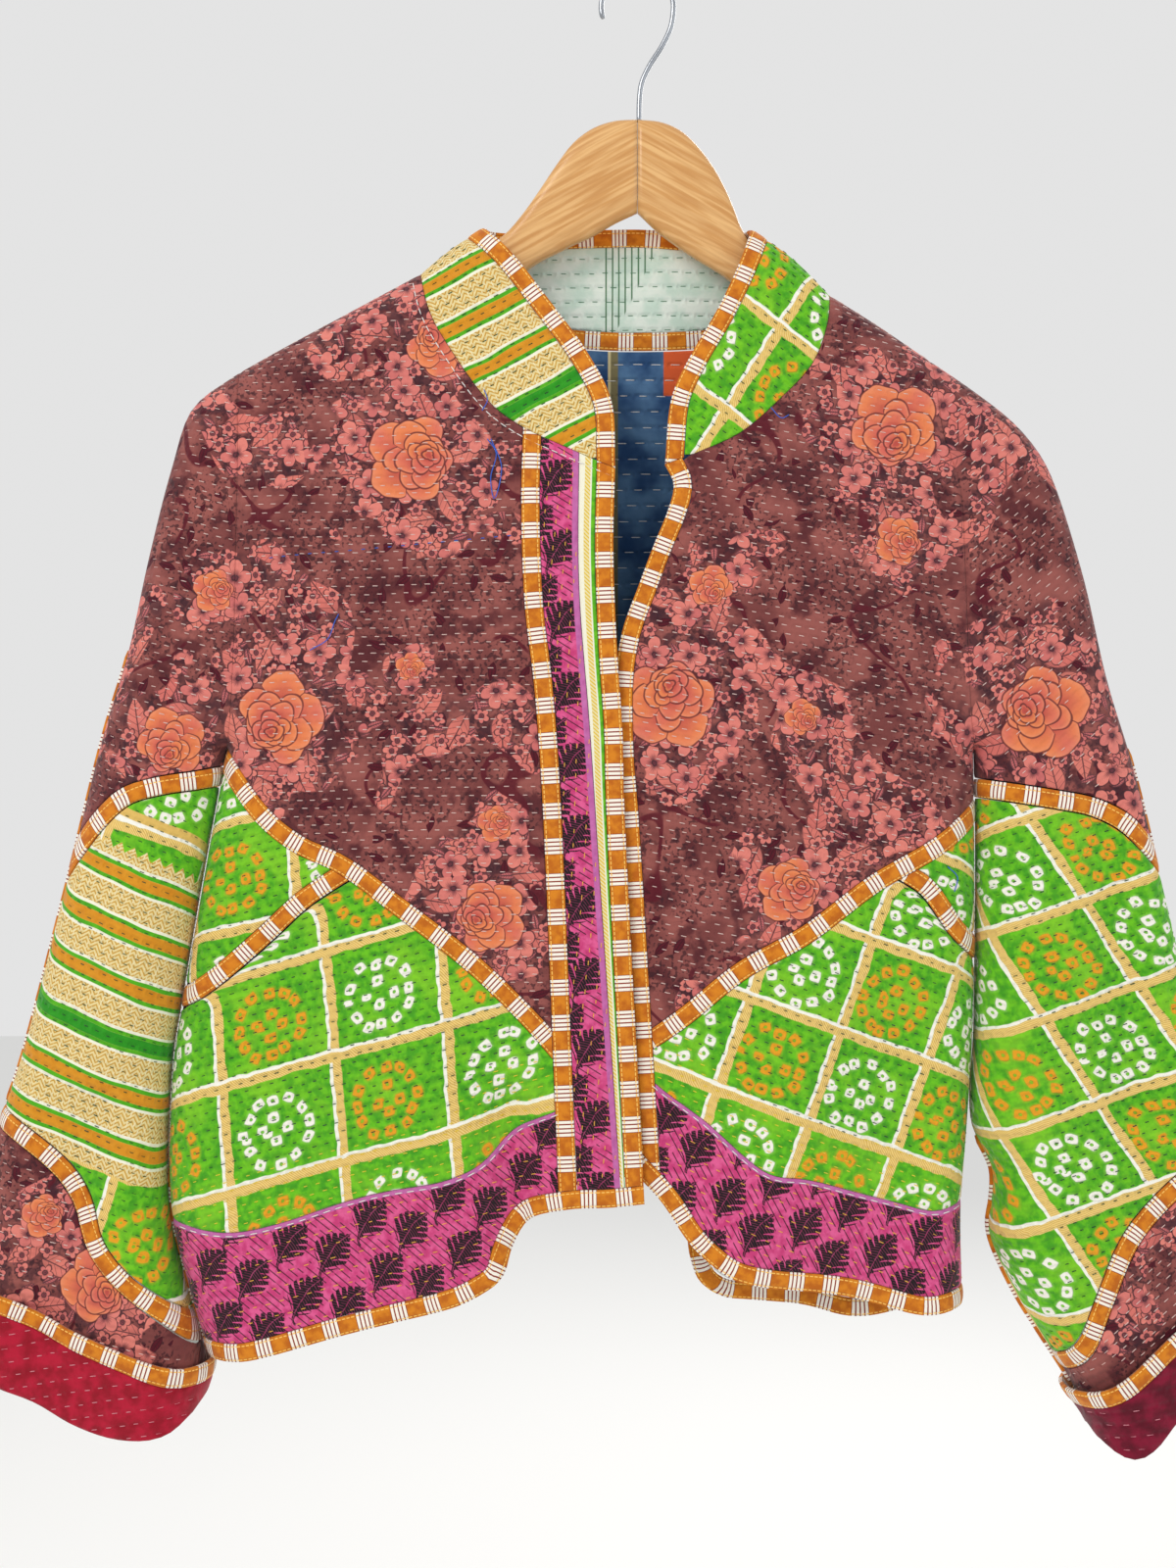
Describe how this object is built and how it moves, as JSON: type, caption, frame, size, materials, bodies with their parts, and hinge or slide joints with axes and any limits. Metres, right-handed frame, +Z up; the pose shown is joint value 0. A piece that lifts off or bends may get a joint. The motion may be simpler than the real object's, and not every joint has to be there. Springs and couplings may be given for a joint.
{
  "type": "kantha jacket on a wooden hanger",
  "caption": "Short quilted patchwork jacket with a stand collar and turned-up cuffs, open at the front, hanging on a contoured wooden hanger with a wire hook.",
  "frame": {"origin": "inside of the top of the hanger's hook, where a rail carries it", "axes": "+Z up along the hook, +X towards the wearer's left, -Y towards the jacket's front"},
  "size_m": [0.7425, 0.0759, 0.8375],
  "materials": {
    "floral_cloth": "matt washed cotton, maroon with salmon roses, pale running stitch",
    "green_tie_dye_cloth": "matt washed cotton, green with a pale lattice and ring dots",
    "pink_leaf_cloth": "matt washed cotton, pink with dark leaves",
    "zigzag_cloth": "matt washed cotton, ochre and green chevron stripes",
    "mint_cloth": "matt washed cotton, pale mint with green stripes",
    "crimson_cloth": "matt washed cotton, crimson",
    "burgundy_cloth": "matt washed cotton, burgundy",
    "striped_binding": "folded cotton binding, rust with groups of pale bars",
    "inside_cloth": "matt washed cotton, indigo, the inside of the quilting",
    "thread": "cotton thread",
    "maple": "satin lacquer",
    "wire": "satin"
  },
  "bodies": {
    "root": {"yoke_right_front": "floral_cloth", "yoke_left_front": "floral_cloth", "slant_binding_right": "striped_binding", "slant_binding_left": "striped_binding", "pocket_facing_right": "green_tie_dye_cloth", "pocket_facing_left": "green_tie_dye_cloth", "pocket_binding_right": "striped_binding", "pocket_binding_left": "striped_binding", "lower_front_right": "green_tie_dye_cloth", "lower_front_left": "green_tie_dye_cloth", "hem_band_right": "pink_leaf_cloth", "hem_band_left": "pink_leaf_cloth", "hem_binding_right": "striped_binding", "hem_binding_left": "striped_binding", "placket_binding": "striped_binding", "placket_pink": "pink_leaf_cloth", "placket_green": "green_tie_dye_cloth", "edge_binding_right": "striped_binding", "edge_binding_left": "striped_binding", "collar_right": "zigzag_cloth", "collar_left": "green_tie_dye_cloth", "collar_binding_right": "striped_binding", "collar_binding_left": "striped_binding", "back": "floral_cloth", "back_hem_binding": "striped_binding", "back_neck_binding": "striped_binding", "collar_back": "mint_cloth", "collar_binding_back": "striped_binding", "sleeve_upper_right": "floral_cloth", "sleeve_upper_binding_right": "striped_binding", "sleeve_middle_right": "zigzag_cloth", "sleeve_lower_binding_right": "striped_binding", "sleeve_lower_right": "floral_cloth", "cuff_right": "crimson_cloth", "cuff_binding_right": "striped_binding", "sleeve_upper_left": "floral_cloth", "sleeve_upper_binding_left": "striped_binding", "sleeve_middle_left": "green_tie_dye_cloth", "sleeve_lower_binding_left": "striped_binding", "sleeve_lower_left": "floral_cloth", "cuff_left": "burgundy_cloth", "cuff_binding_left": "striped_binding", "hanger_arm_right": "maple", "hanger_arm_left": "maple", "hook": "wire"}
  },
  "joints": []
}
